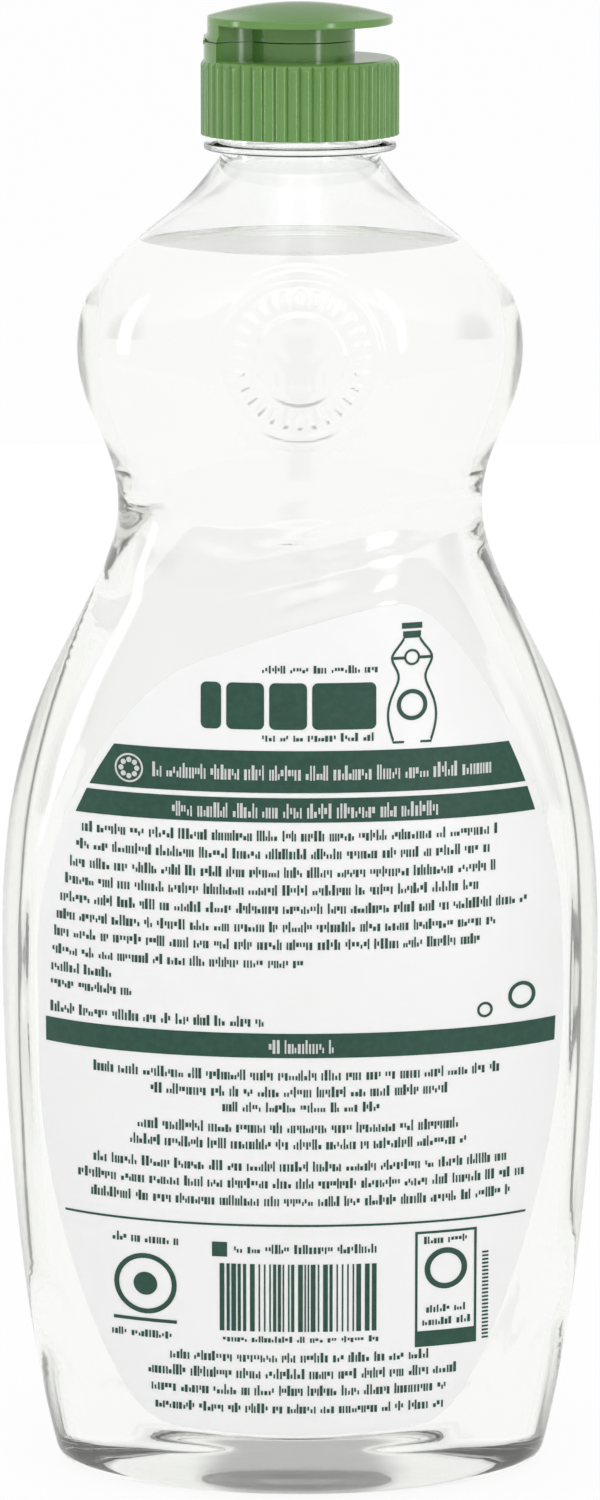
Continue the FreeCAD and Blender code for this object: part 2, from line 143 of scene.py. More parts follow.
def arc_points(start, middle, end, count):
    """Points on the arc from start through middle, without its end."""
    a, b, c = np.array(start), np.array(middle), np.array(end)
    centre = np.linalg.solve(2 * np.array([b - a, c - a]), [b @ b - a @ a, c @ c - a @ a])
    first, last = (math.atan2(*(p - centre)[::-1]) for p in (a, c))
    halfway = math.atan2(*(b - centre)[::-1])
    if (last - halfway) % math.tau > math.pi:
        last, first = first - (first - last) % math.tau, first
    else:
        last = first + (last - first) % math.tau
    reach = np.linalg.norm(a - centre)
    return [
        (centre[0] + reach * math.cos(t), centre[1] + reach * math.sin(t))
        for t in np.linspace(first, last, count + 1)[:-1]
    ]


panel_outline = []
for i, middle in enumerate(PANEL_MIDDLES):
    panel_outline += arc_points(PANEL_CORNERS[i], middle, PANEL_CORNERS[(i + 1) % 6], 16)


def outside_panel(x, z):
    """How far points lie outside the label's outline, negative inside it."""
    nearest = np.full(len(x), 1e9)
    inside = np.zeros(len(x), bool)
    for (x0, z0), (x1, z1) in zip(panel_outline, panel_outline[1:] + panel_outline[:1]):
        along = ((x - x0) * (x1 - x0) + (z - z0) * (z1 - z0)) / ((x1 - x0) ** 2 + (z1 - z0) ** 2)
        along = np.clip(along, 0, 1)
        nearest = np.minimum(nearest, np.hypot(x - x0 - along * (x1 - x0), z - z0 - along * (z1 - z0)))
        if z0 != z1:
            inside ^= ((z0 > z) != (z1 > z)) & (x < (x1 - x0) * (z - z0) / (z1 - z0) + x0)
    return np.where(inside, -nearest, nearest)


def soft_step(value, start, end):
    """Rises smoothly from 0 at start to 1 at end."""
    t = np.clip((value - start) / (end - start), 0, 1)
    return t * t * (3 - 2 * t)


def medallion_relief(x, z):
    """Height of the medallion's two rings and of the ticks between them."""
    reach = np.hypot(x, z - MEDALLION_HEIGHT)
    turn = np.arctan2(z - MEDALLION_HEIGHT, x)
    rings = sum(np.exp(-(((reach - radius) / 0.55) ** 2)) for radius in MEDALLION_RINGS)
    tick = soft_step(np.cos(MEDALLION_TICKS * turn), 0.1, 0.8) * soft_step(abs(reach - 9.6), 1.5, 1.0)
    return MEDALLION_RELIEF * np.maximum(rings, tick)


def sink_panels(bm, relief=False):
    """Presses the label panels, the medallion and the waist folds into a body's wall."""
    at = np.array([v.co for v in bm.verts])
    x, y, z = at.T
    depth = PANEL_DEPTH * soft_step(outside_panel(x, z), 2.3, 0.7) * (z > 6)
    from_centre = np.hypot(x, z - MEDALLION_HEIGHT)
    near = y < 0
    dish = soft_step(from_centre, MEDALLION_RADIUS + 0.6, MEDALLION_RADIUS - 1.4)
    depth += near * PANEL_DEPTH * dish
    for (x0, z0), (x1, z1), fold_depth, spread in WAIST_FOLDS:
        along = ((x - x0) * (x1 - x0) + (z - z0) * (z1 - z0)) / ((x1 - x0) ** 2 + (z1 - z0) ** 2)
        aside = ((z - z0) * (x1 - x0) - (x - x0) * (z1 - z0)) / math.hypot(x1 - x0, z1 - z0)
        ends = soft_step(along, -0.15, 0.2) * soft_step(along, 1.15, 0.8)
        depth += fold_depth * ends * np.exp(-((aside / spread) ** 2))
    wide = half_width(np.clip(z, 0, NECK_START))
    deep = half_depth(np.clip(z, 0, NECK_START))
    if relief:
        outer = (x / wide) ** 2 + (y / deep) ** 2 > 0.98
        depth -= medallion_relief(x, z) * outer * near * (depth > 0.3)
    for v, sink, a, b in zip(bm.verts, depth, wide, deep):
        if sink > 1e-4:
            v.co.x -= sink * v.co.x / a
            v.co.y -= sink * v.co.y / b


def base_rings(inset):
    """Rings of the raised base and rounded heel, from the middle outwards."""
    spread = 1 - ((BASE_CROWN - BASE_RISE) / BASE_CROWN) ** 2
    rings = []
    for share in (0.05, 0.15, 0.3, 0.45, 0.6, 0.72, 0.84, 0.94, 1.0):
        rise = BASE_CROWN * math.sqrt(1 - share**2 * spread) - BASE_CROWN + BASE_RISE
        rings.append((rise + inset, share * BASE_OVAL[0], share * BASE_OVAL[1]))
    rings.append((inset, BASE_OVAL[0] + 1.2, BASE_OVAL[1] + 1.2))
    radius = HEEL_RADIUS - inset
    for turn in range(0, 91, 10):
        height = inset + radius * (1 - math.cos(math.radians(turn)))
        drawn_in = inset + radius * (1 - math.sin(math.radians(turn)))
        rings.append((height, half_width(height) - drawn_in, half_depth(height) - drawn_in))
    return rings


def blow_skin(bm, rings, segments):
    """One closed skin: an even tube is spun, then each ring takes its oval and height."""
    posts = [bm.verts.new((1, 0, step)) for step in range(len(rings))]
    staves = [bm.edges.new(pair) for pair in zip(posts, posts[1:])]
    bmesh.ops.spin(
        bm, geom=[*posts, *staves], cent=(0, 0, 0), axis=(0, 0, 1),
        angle=math.tau, steps=segments, use_merge=True,
    )
    for v in bm.verts:
        height, wide, deep = rings[round(v.co.z)]
        v.co = v.co.x * wide, v.co.y * deep, height
    ends = bmesh.ops.edgeloop_fill(bm, edges=[e for e in bm.edges if e.is_boundary])["faces"]
    bmesh.ops.poke(bm, faces=ends)


def finish_piece(bm, name, sharp=40):
    """Turns a mesh made in millimetres into a finished object in metres."""
    bmesh.ops.scale(bm, vec=(0.001, 0.001, 0.001), verts=bm.verts)
    bmesh.ops.recalc_face_normals(bm, faces=bm.faces)
    for face in bm.faces:
        face.smooth = True
    for edge in bm.edges:
        edge.smooth = edge.calc_face_angle(0) < math.radians(sharp)
    mesh = bpy.data.meshes.new(name)
    bm.to_mesh(mesh)
    bm.free()
    piece = bpy.data.objects.new(name, mesh)
    bpy.context.scene.collection.objects.link(piece)
    return piece


def new_finish(name, colour, **values):
    """A material whose even values are set on the shader itself."""
    finish = bpy.data.materials.new(name)
    finish.use_nodes = True
    shader = finish.node_tree.nodes["Principled BSDF"]
    shader.inputs["Base Color"].default_value = (*colour, 1)
    for socket, value in values.items():
        shader.inputs[socket.replace("_", " ")].default_value = value
    return finish


def add_ripple(finish, spacing, height, detail=2.0):
    """Raises an uneven ripple on a finish; spacing and height are in metres."""
    nodes, links = finish.node_tree.nodes, finish.node_tree.links
    place = nodes.new("ShaderNodeTexCoord")
    noise = nodes.new("ShaderNodeTexNoise")
    noise.inputs["Scale"].default_value = 1 / spacing
    noise.inputs["Detail"].default_value = detail
    bump = nodes.new("ShaderNodeBump")
    bump.inputs["Strength"].default_value = 1.0
    bump.inputs["Distance"].default_value = height
    links.new(place.outputs["Object"], noise.inputs["Vector"])
    links.new(noise.outputs["Fac"], bump.inputs["Height"])
    links.new(bump.outputs["Normal"], nodes["Principled BSDF"].inputs["Normal"])


def add_mottle(finish, spacing, pale, deep):
    """Varies a finish's colour between two values in soft patches."""
    nodes, links = finish.node_tree.nodes, finish.node_tree.links
    place = nodes.new("ShaderNodeTexCoord")
    noise = nodes.new("ShaderNodeTexNoise")
    noise.inputs["Scale"].default_value = 1 / spacing
    noise.inputs["Detail"].default_value = 3.0
    ramp = nodes.new("ShaderNodeValToRGB")
    ramp.color_ramp.elements[0].position = 0.3
    ramp.color_ramp.elements[1].position = 0.7
    ramp.color_ramp.elements[0].color = (*deep, 1)
    ramp.color_ramp.elements[1].color = (*pale, 1)
    links.new(place.outputs["Object"], noise.inputs["Vector"])
    links.new(noise.outputs["Fac"], ramp.inputs["Fac"])
    links.new(ramp.outputs["Color"], nodes["Principled BSDF"].inputs["Base Color"])


outer_rings = base_rings(0)
for height in np.arange(4.4, 211.0, 1.2):
    outer_rings.append((height, *shell_oval(height, 0)))
outer_rings.append((NECK_START, NECK_RADIUS, NECK_RADIUS))
neck_rings = [(height, radius, radius) for height, radius in NECK_FINISH]
inner_rings = [(NECK_START, NECK_BORE, NECK_BORE)]
for height in np.arange(210.0, 3.6, -1.8):
    inner_rings.append((height, *shell_oval(height, SHELL_WALL)))
inner_rings += reversed(base_rings(SHELL_WALL))

shell_mesh = bmesh.new()
blow_skin(shell_mesh, outer_rings + neck_rings + inner_rings, SHELL_SEGMENTS)
medallion_edges = [
    e for e in shell_mesh.edges
    if all(v.co.y < 0 and math.hypot(v.co.x, v.co.z - MEDALLION_HEIGHT) < 16 for v in e.verts)
]
bmesh.ops.subdivide_edges(shell_mesh, edges=medallion_edges, cuts=2, use_grid_fill=True)
sink_panels(shell_mesh, relief=True)

thread = bmesh.new()
thread_section = thread.faces.new([thread.verts.new((x, 0, z)) for x, z in THREAD_SECTION])
bmesh.ops.spin(
    thread, geom=[thread_section, *thread_section.verts, *thread_section.edges],
    cent=(0, 0, 0), axis=(0, 0, 1), dvec=(0, 0, THREAD_TURNS * THREAD_PITCH / THREAD_STEPS),
    angle=math.radians(360 * THREAD_TURNS), steps=THREAD_STEPS, use_merge=False,
)
bmesh.ops.holes_fill(thread, edges=[e for e in thread.edges if e.is_boundary])
thread_mesh = bpy.data.meshes.new("thread")
thread.to_mesh(thread_mesh)
thread.free()
shell_mesh.from_mesh(thread_mesh)
bpy.data.meshes.remove(thread_mesh)

clear_polyester = new_finish(
    "clear_polyester", (0.985, 0.99, 0.985),
    Roughness=0.02, IOR=1.57, Transmission_Weight=1.0,
)
add_ripple(clear_polyester, 0.022, 0.00006, detail=1.0)

shell = finish_piece(shell_mesh, "bottle_shell")
shell.data.materials.append(clear_polyester)
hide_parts("bottle")
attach(shell, "bottle")


# ---------------------------------------------------------------- dish soap
# The soap is a thick, clear, faintly warm liquid that fills the body up to
# the shoulder. It wets the wall, so its surface climbs a little at the edge.

SOAP_LEVEL = 197.5
SOAP_INSET = 0.62
SOAP_CLIMB = 0.9

soap_rings = base_rings(SOAP_INSET)
for height in np.arange(4.4, SOAP_LEVEL - 0.5, 1.6):
    soap_rings.append((height, *shell_oval(height, SOAP_INSET)))
rim_wide, rim_deep = shell_oval(SOAP_LEVEL + SOAP_CLIMB, SOAP_INSET)
soap_rings.append((SOAP_LEVEL + SOAP_CLIMB, rim_wide, rim_deep))
for from_rim in (0.35, 0.8, 1.4, 2.2, 3.2, 4.6, 7.0, 12.0, 18.0, 22.0):
    level = SOAP_LEVEL + SOAP_CLIMB * math.exp(-from_rim / 1.1)
    share = max(0.04, 1 - from_rim / 23.4)
    soap_rings.append((level, rim_wide * share, rim_deep * share))

soap_mesh = bmesh.new()
blow_skin(soap_mesh, soap_rings, SHELL_SEGMENTS)
sink_panels(soap_mesh)

clear_soap = new_finish(
    "clear_soap", (0.985, 0.983, 0.972),
    Roughness=0.0, IOR=1.35, Transmission_Weight=1.0,
)

soap = finish_piece(soap_mesh, "soap_fill", sharp=60)
soap.data.materials.append(clear_soap)
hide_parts("liquid_soap")
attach(soap, "bottle")


# ---------------------------------------------------------------- back label
# The back label is white self-adhesive film, printed in one dark green and
# pressed into the sunk panel. It is die-cut with round corners and a raised
# top right corner, and its face stands just below the wall around it.

FILM_THICKNESS = 0.12
FILM_FACE = 0.30
LABEL_CORNER_ROUND = 1.6


def lay_on_body(bm, side, back, face):
    """Raises a flat pattern to a thin film that follows the body's wall."""
    flat = list(bm.verts)
    raised = bmesh.ops.extrude_face_region(bm, geom=list(bm.faces))["geom"]
    tops = {g for g in raised if isinstance(g, bmesh.types.BMVert)}
    for inset, verts in ((back, flat), (face, tops)):
        for v in verts:
            wide, deep = shell_oval(v.co.z, inset)
            v.co.y = side * deep * math.sqrt(max(0.0, 1 - (v.co.x / wide) ** 2))


def cut_cells(bm, across, up):
    """Scores a flat pattern into cells so that it can bend with the wall."""
    for axis, spacing in ((0, across), (2, up)):
        places = [v.co[axis] for v in bm.verts]
        normal = Vector((1, 0, 0)) if axis == 0 else Vector((0, 0, 1))
        for step in np.arange(min(places) + spacing, max(places) - spacing * 0.3, spacing):
            bmesh.ops.bisect_plane(
                bm, geom=[*bm.verts, *bm.edges, *bm.faces], plane_co=normal * step, plane_no=normal,
            )


def drawn_in(points, inset):
    """A closed outline, given clockwise, moved inwards by inset."""
    along = np.roll(points, -1, 0) - np.roll(points, 1, 0)
    inward = np.stack([along[:, 1], -along[:, 0]], 1) / np.linalg.norm(along, axis=1)[:, None]
    return points + inward * inset


def label_outline(inset):
    """The label's outline with its corners rounded, drawn in by inset."""
    sharp = np.array(panel_outline)
    soft = sharp.copy()
    for _ in range(3):
        soft = (np.roll(soft, 1, 0) + soft * 2 + np.roll(soft, -1, 0)) / 4
    from_corner = abs((np.arange(len(sharp)) + 8) % 16 - 8)
    share = np.exp(-((from_corner / LABEL_CORNER_ROUND) ** 2))[:, None]
    return drawn_in(sharp * (1 - share) + soft * share, inset)


def label_film(side, outline):
    """The die-cut film on one side of the bottle."""
    bm = bmesh.new()
    bm.faces.new([bm.verts.new((x, 0, z)) for x, z in outline])
    cut_cells(bm, 1.25, 2.5)
    lay_on_body(bm, side, FILM_FACE + FILM_THICKNESS, FILM_FACE)
    return bm


white_film = new_finish(
    "white_film", (0.92, 0.92, 0.915), Roughness=0.4, IOR=1.45, Subsurface_Weight=1.0,
    Subsurface_Scale=0.00018, Subsurface_Radius=(1, 1, 1),
)
add_mottle(white_film, 0.03, (0.935, 0.935, 0.93), (0.905, 0.907, 0.90))
add_ripple(white_film, 0.012, 0.00002)

back_film = finish_piece(label_film(-1, label_outline(0)), "back_film")
back_film.data.materials.append(white_film)
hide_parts("back_label")
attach(back_film, "bottle")


# ---------------------------------------------------------------- back print
# The print is one dark green ink, a few hundredths of a millimetre thick.
# Its wide bands, rules, blocks and small marks stand where the label has its
# own, and every line of small print is a row of plain upright strokes.

INK_FACE = 0.24
INK_BACK = 0.305
PRINT_MARGIN = 1.2
BANDS = ((114.7, 121.2), (110.1, 113.9), (72.8, 76.7), (45.3, 45.65))
SMALL_PRINT = (  # height of the row, its left and right ends, height of the strokes
    (133.8, -5.9, 11.9, 1.2), (123.3, -5.9, 11.9, 1.3),
    (108.0, -34.3, 31.1, 1.65), (105.2, -35.2, 29.8, 1.65), (102.3, -36.2, 30.8, 1.65),
    (99.5, -37.0, 28.4, 1.65), (96.6, -37.8, 35.6, 1.65), (93.7, -38.4, 31.8, 1.65),
    (90.9, -38.8, 28.3, 1.65), (88.0, -39.1, 0.7, 1.6), (85.2, -39.3, -29.5, 1.6),
    (82.6, -39.4, -26.2, 1.6), (78.6, -39.5, -5.4, 1.7),
    (70.0, -32.6, 32.1, 1.7), (67.3, -23.5, 23.6, 1.7), (64.8, -12.2, 12.3, 1.6),
    (61.5, -25.6, 25.3, 1.75), (58.8, -26.8, 26.4, 1.7),
    (55.2, -32.7, 33.0, 1.65), (52.4, -35.2, 35.6, 1.65), (49.5, -33.1, 33.5, 1.65),
    (42.4, -29.7, -19.2, 1.5), (26.6, -29.9, -19.3, 1.2),
    (23.7, -20.6, 21.0, 1.6), (21.0, -24.1, 24.7, 1.7), (18.2, -23.6, 23.9, 1.7),
    (15.2, -23.0, 23.0, 1.6),
)


def bar(bm, left, right, low, high, across=3.0):
    """A flat bar of ink, scored so that it bends with the wall."""
    steps = max(1, round((right - left) / across))
    place = Matrix.Translation(((left + right) / 2, 0, (low + high) / 2))
    place = place @ Matrix.Rotation(math.radians(90), 4, "X")
    place = place @ Matrix.Diagonal((right - left, high - low, 1, 1))
    bmesh.ops.create_grid(bm, x_segments=steps, y_segments=1, size=0.5, matrix=place)


def ring(bm, x, z, outer, inner, segments=40):
    """A flat ring of ink."""
    place = Matrix.Translation((x, 0, z)) @ Matrix.Rotation(math.radians(90), 4, "X")
    rims = []
    for radius in (outer, inner):
        verts = bmesh.ops.create_circle(bm, segments=segments, radius=radius, matrix=place)["verts"]
        rims += {e for v in verts for e in v.link_edges}
    bmesh.ops.bridge_loops(bm, edges=rims)


def disc(bm, x, z, radius, segments=28):
    """A flat round dot of ink."""
    place = Matrix.Translation((x, 0, z)) @ Matrix.Rotation(math.radians(90), 4, "X")
    bmesh.ops.create_circle(bm, cap_ends=True, segments=segments, radius=radius, matrix=place)


def word_bars(bm, height, left, right, tall, seed):
    """A row of plain upright strokes, grouped as small print is."""
    strokes = random.Random(seed)
    x = left
    low = height - tall / 2
    while x < right - 0.5:
        word_end = min(x + strokes.choice((1.5, 2.3, 3.1, 3.9, 4.7, 6.3)), right)
        while x < word_end - 0.2:
            bottom, top = strokes.choice(((0, 0.72), (0, 0.72), (0, 1.0), (0.05, 0.45), (0.3, 0.72)))
            thick = strokes.choice((0.26, 0.3, 0.44))
            bar(bm, x, x + thick, low + bottom * tall, low + top * tall)
            x += thick + strokes.choice((0.16, 0.24))
        x += 0.62


def print_band(outline, low, high):
    """A band of ink across the label, with ends that follow its edge."""
    bm = bmesh.new()
    bm.faces.new([bm.verts.new((x, 0, z)) for x, z in outline])
    up = Vector((0, 0, 1))
    for level, below in ((low, True), (high, False)):
        bmesh.ops.bisect_plane(
            bm, geom=[*bm.verts, *bm.edges, *bm.faces], plane_co=up * level, plane_no=up,
            clear_inner=below, clear_outer=not below,
        )
    cut_cells(bm, 2.0, 3.0)
    return bm


def join_patterns(whole, pattern):
    """Adds one flat pattern to another."""
    mesh = bpy.data.meshes.new("pattern")
    pattern.to_mesh(mesh)
    pattern.free()
    whole.from_mesh(mesh)
    bpy.data.meshes.remove(mesh)


back_pattern = bmesh.new()
for low, high in BANDS:
    join_patterns(back_pattern, print_band(label_outline(PRINT_MARGIN), low, high))
for seed, (height, left, right, thick) in enumerate(SMALL_PRINT):
    word_bars(back_pattern, height, left, right, thick, seed)

# Large headline, as four heavy blocks with rounded corners
for left, right in ((-15.5, -12.3), (-11.5, -5.6), (-4.8, 1.1), (1.9, 11.9)):
    block = bmesh.new()
    corners = ((left, 124.5), (left, 131.7), (right, 131.7), (right, 124.5))
    block.faces.new([block.verts.new((x, 0, z)) for x, z in corners])
    bmesh.ops.bevel(
        block, geom=list(block.verts), offset=0.9, offset_type="OFFSET", segments=5,
        profile=0.5, affect="VERTICES", material=-1,
    )
    cut_cells(block, 1.6, 3.0)
    join_patterns(back_pattern, block)

# Outline of a plain bottle beside it, with a ring on its shoulder and hip
SIGN_MIDDLE = 17.5
sign_width = batten(
    np.array([122.1, 124.0, 127.3, 130.2, 132.6, 135.4, 137.4, 138.6]),
    np.array([3.0, 3.6, 3.9, 3.0, 2.3, 3.3, 2.0, 1.2]),
)
up_left = [(SIGN_MIDDLE - float(sign_width(z)), z) for z in np.linspace(122.1, 138.6, 34)]
down_right = [(2 * SIGN_MIDDLE - x, z) for x, z in reversed(up_left)]
sign_line = np.array(up_left + down_right)
sign = bmesh.new()
for outline in (sign_line, drawn_in(sign_line, 0.36)):
    posts = [sign.verts.new((x, 0, z)) for x, z in outline]
    for pair in zip(posts, posts[1:] + posts[:1]):
        sign.edges.new(pair)
bmesh.ops.bridge_loops(sign, edges=sign.edges)
join_patterns(back_pattern, sign)
bar(back_pattern, 15.9, 19.1, 139.7, 140.6)
bar(back_pattern, 16.1, 18.9, 138.5, 139.3)
ring(back_pattern, SIGN_MIDDLE, 135.3, 1.25, 0.9, segments=28)
bar(back_pattern, 14.4, 16.3, 135.0, 135.45)
bar(back_pattern, 18.7, 20.6, 135.0, 135.45)
ring(back_pattern, SIGN_MIDDLE, 128.0, 2.4, 1.75, segments=36)

# Round mark, square mark with its line, bar block and boxed mark
ring(back_pattern, -24.5, 34.9, 5.0, 4.2)
disc(back_pattern, -24.5, 34.9, 1.9)
bar(back_pattern, -29.6, -19.5, 28.6, 29.15)
ring(back_pattern, 29.1, 79.3, 1.25, 0.85, segments=24)
ring(back_pattern, 35.0, 81.0, 2.2, 1.6)
bar(back_pattern, -13.9, -11.5, 40.2, 42.6)
word_bars(back_pattern, 41.6, -10.4, 12.7, 1.5, 91)
stripes = random.Random(12)
x = -12.7
while x < 12.3:
    wide = stripes.choice((0.25, 0.25, 0.5, 0.75))
    bar(back_pattern, x, min(x + wide, 12.7), 28.0, 39.1)
    x += wide + stripes.choice((0.25, 0.35, 0.6))
word_bars(back_pattern, 26.7, -12.2, 12.2, 1.0, 92)
for left, right, low, high in ((18.2, 28.0, 43.5, 43.9), (18.2, 28.0, 24.8, 25.2),
                               (18.2, 18.6, 25.2, 43.5), (27.6, 28.0, 25.2, 43.5)):
    bar(back_pattern, left, right, low, high)
ring(back_pattern, 23.1, 37.6, 3.4, 2.5)
bar(back_pattern, 18.6, 27.6, 25.2, 27.4)
boxed_rows = ((42.4, 19.6, 26.6), (31.0, 20.0, 26.4), (28.9, 19.4, 27.0))
for row, (height, left, right) in enumerate(boxed_rows):
    word_bars(back_pattern, height, left, right, 1.2, 60 + row)
for height in np.arange(25.2, 39.6, 0.62):
    bar(back_pattern, 28.9, 29.9, height, height + 0.3)
lay_on_body(back_pattern, -1, INK_BACK, INK_FACE)

green_ink = new_finish("green_ink", (0.016, 0.066, 0.045), Roughness=0.5, IOR=1.4)
add_mottle(green_ink, 0.0011, (0.020, 0.074, 0.051), (0.012, 0.057, 0.038))

# White strokes and a small rosette, left open in the bands
open_print = bmesh.new()
word_bars(open_print, 117.8, -23.1, 30.9, 2.3, 70)
word_bars(open_print, 111.9, -20.0, 21.5, 2.3, 71)
word_bars(open_print, 74.6, -4.9, 5.3, 2.2, 72)
for turn in range(0, 360, 45):
    across, up = math.cos(math.radians(turn)), math.sin(math.radians(turn))
    disc(open_print, -26.8 + 1.25 * across, 117.7 + 1.25 * up, 0.42, segments=12)
ring(open_print, -26.8, 117.7, 2.25, 1.95, segments=28)
lay_on_body(open_print, -1, INK_FACE + 0.005, INK_FACE - 0.03)

back_ink = finish_piece(back_pattern, "back_ink")
back_ink.data.materials.append(green_ink)
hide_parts("back_label_print")
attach(back_ink, "bottle")

open_strokes = finish_piece(open_print, "open_strokes")
open_strokes.data.materials.append(white_film)
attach(open_strokes, "bottle")


# ---------------------------------------------------------------- front label
# The front label is the same film on the other side of the bottle. The
# photograph doesn't show it, so it is small enough to hide behind the back
# label, and its print is plain: two bands, a ring and a few rows of strokes.

FRONT_LABEL_INSET = 16.0
FRONT_MIDDLE = (0.2, 74.0)


def panel_inset_outline(inset):
    """The outline that lies inset inside the panel's edge all the way round."""
    turns = np.linspace(math.tau, 0, 120, endpoint=False)
    near, far = np.zeros(len(turns)), np.full(len(turns), 90.0)
    for _ in range(24):
        reach = (near + far) / 2
        x, z = FRONT_MIDDLE[0] + reach * np.cos(turns), FRONT_MIDDLE[1] + reach * np.sin(turns)
        within = outside_panel(x, z) < -inset
        near, far = np.where(within, reach, near), np.where(within, far, reach)
    return np.stack([x, z], 1)


front_film = finish_piece(label_film(1, panel_inset_outline(FRONT_LABEL_INSET)), "front_film")
front_film.data.materials.append(white_film)
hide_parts("front_label")
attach(front_film, "bottle")

front_pattern = bmesh.new()
front_print_edge = panel_inset_outline(FRONT_LABEL_INSET + PRINT_MARGIN)
for low, high in ((102.0, 106.0), (48.0, 50.5)):
    join_patterns(front_pattern, print_band(front_print_edge, low, high))
ring(front_pattern, 0.0, 80.0, 13.0, 11.6, segments=72)
ring(front_pattern, 0.0, 80.0, 10.4, 9.9, segments=72)
disc(front_pattern, 0.0, 80.0, 4.2, segments=40)
front_rows = ((60.0, 17.0), (55.5, 12.0), (42.0, 14.0), (38.5, 11.0), (35.0, 8.0))
for row, (height, reach) in enumerate(front_rows):
    word_bars(front_pattern, height, -reach, reach, 3.0 if row < 2 else 1.7, 40 + row)
lay_on_body(front_pattern, 1, INK_BACK, INK_FACE)
front_ink = finish_piece(front_pattern, "front_ink")
front_ink.data.materials.append(green_ink)
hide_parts("front_label_print")
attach(front_ink, "bottle")


# ---------------------------------------------------------------- cap liner
# The liner is a punched washer of white foamed polyethylene that lies on the
# bottle's mouth. The cap squeezes it when it is screwed down.

white_foam = new_finish(
    "white_foam", (0.80, 0.80, 0.77),
    Roughness=0.75, Subsurface_Weight=0.15, Subsurface_Radius=(0.001, 0.001, 0.001),
)
add_mottle(white_foam, 0.0009, (0.84, 0.84, 0.81), (0.74, 0.74, 0.71))
add_ripple(white_foam, 0.0004, 0.00005)
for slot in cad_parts["cap_liner"].material_slots:
    slot.material = white_foam


# ---------------------------------------------------------------- cap
# The cap is moulded in opaque green polypropylene: a ribbed skirt with the
# thread inside, a flat deck, and a round turret with the spout in it.

cap_green = new_finish(
    "cap_green", (0.118, 0.262, 0.062), Roughness=0.14, IOR=1.49,
    Subsurface_Weight=0.05, Subsurface_Radius=(0.0008, 0.001, 0.0006),
)
add_mottle(cap_green, 0.006, (0.125, 0.272, 0.066), (0.111, 0.252, 0.057))
add_ripple(cap_green, 0.0009, 0.000006, detail=3.0)
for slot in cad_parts["cap"].material_slots:
    slot.material = cap_green


# ---------------------------------------------------------------- lid
# The lid is moulded with the cap in the same shot: a column that closes over
# the turret, and a wide domed disc that the thumb pushes up.

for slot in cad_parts["flip_lid"].material_slots:
    slot.material = cap_green


# ---------------------------------------------------------------- living hinge
# The hinge is a thin web of the same plastic between cap and lid. It is left
# thin in the mould so that it bends each time the lid opens.

HINGE_RADIUS = 15.1
HINGE_HALF_WIDTH = 6.2
PARTING_HEIGHT = 229.84
WEB_SETBACK = 0.24
WEB_RISE = 0.08
WEB_THICKNESS = 0.24

web = bmesh.new()
bmesh.ops.create_grid(web, x_segments=12, y_segments=10, size=1)
bmesh.ops.scale(web, vec=(HINGE_HALF_WIDTH, 0.3, 1), verts=web.verts)
for axis in "XZ":
    quarter = Matrix.Rotation(math.radians(90), 3, axis)
    bmesh.ops.rotate(web, cent=(0, 0, 0), matrix=quarter, verts=web.verts)
web_place = (-HINGE_RADIUS + WEB_SETBACK, 0, PARTING_HEIGHT + WEB_RISE)
bmesh.ops.translate(web, vec=web_place, verts=web.verts)
bmesh.ops.solidify(web, geom=web.faces, thickness=WEB_THICKNESS)
living_hinge = finish_piece(web, "living_hinge")
living_hinge.data.materials.append(cap_green)
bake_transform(living_hinge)


# ---------------------------------------------------------------- stage
# The floor is plain and pale. The room is an even white with darker sides,
# which draw the outline of the clear plastic, and a grey patch low behind
# the bottle, which only the soap's surface and clear walls pick up.

floor_mesh = bmesh.new()
bmesh.ops.create_grid(floor_mesh, x_segments=2, y_segments=2, size=9000)
bmesh.ops.translate(floor_mesh, vec=(0, 0, -0.15), verts=floor_mesh.verts)
floor = finish_piece(floor_mesh, "floor")
floor_paint = bpy.data.materials.new("floor_paint")
floor_paint.use_nodes = True
nodes, links = floor_paint.node_tree.nodes, floor_paint.node_tree.links
nodes.clear()
paint = nodes.new("ShaderNodeBsdfDiffuse")
paint.inputs["Color"].default_value = (0.94, 0.94, 0.94, 1)
glow = nodes.new("ShaderNodeEmission")
glow.inputs["Strength"].default_value = 1.0
ray = nodes.new("ShaderNodeLightPath")
seen = nodes.new("ShaderNodeMath")
seen.operation = "MAXIMUM"
seen_through = nodes.new("ShaderNodeMath")
seen_through.operation = "MAXIMUM"
share = nodes.new("ShaderNodeMath")
share.operation = "MULTIPLY"
share.inputs[1].default_value = 0.93
mix = nodes.new("ShaderNodeMixShader")
out = nodes.new("ShaderNodeOutputMaterial")
links.new(ray.outputs["Is Camera Ray"], seen.inputs[0])
links.new(ray.outputs["Is Glossy Ray"], seen.inputs[1])
links.new(seen.outputs[0], seen_through.inputs[0])
links.new(ray.outputs["Is Transmission Ray"], seen_through.inputs[1])
links.new(seen_through.outputs[0], share.inputs[0])
links.new(share.outputs[0], mix.inputs[0])
links.new(paint.outputs[0], mix.inputs[1])
links.new(glow.outputs[0], mix.inputs[2])
links.new(mix.outputs[0], out.inputs["Surface"])
floor.data.materials.append(floor_paint)

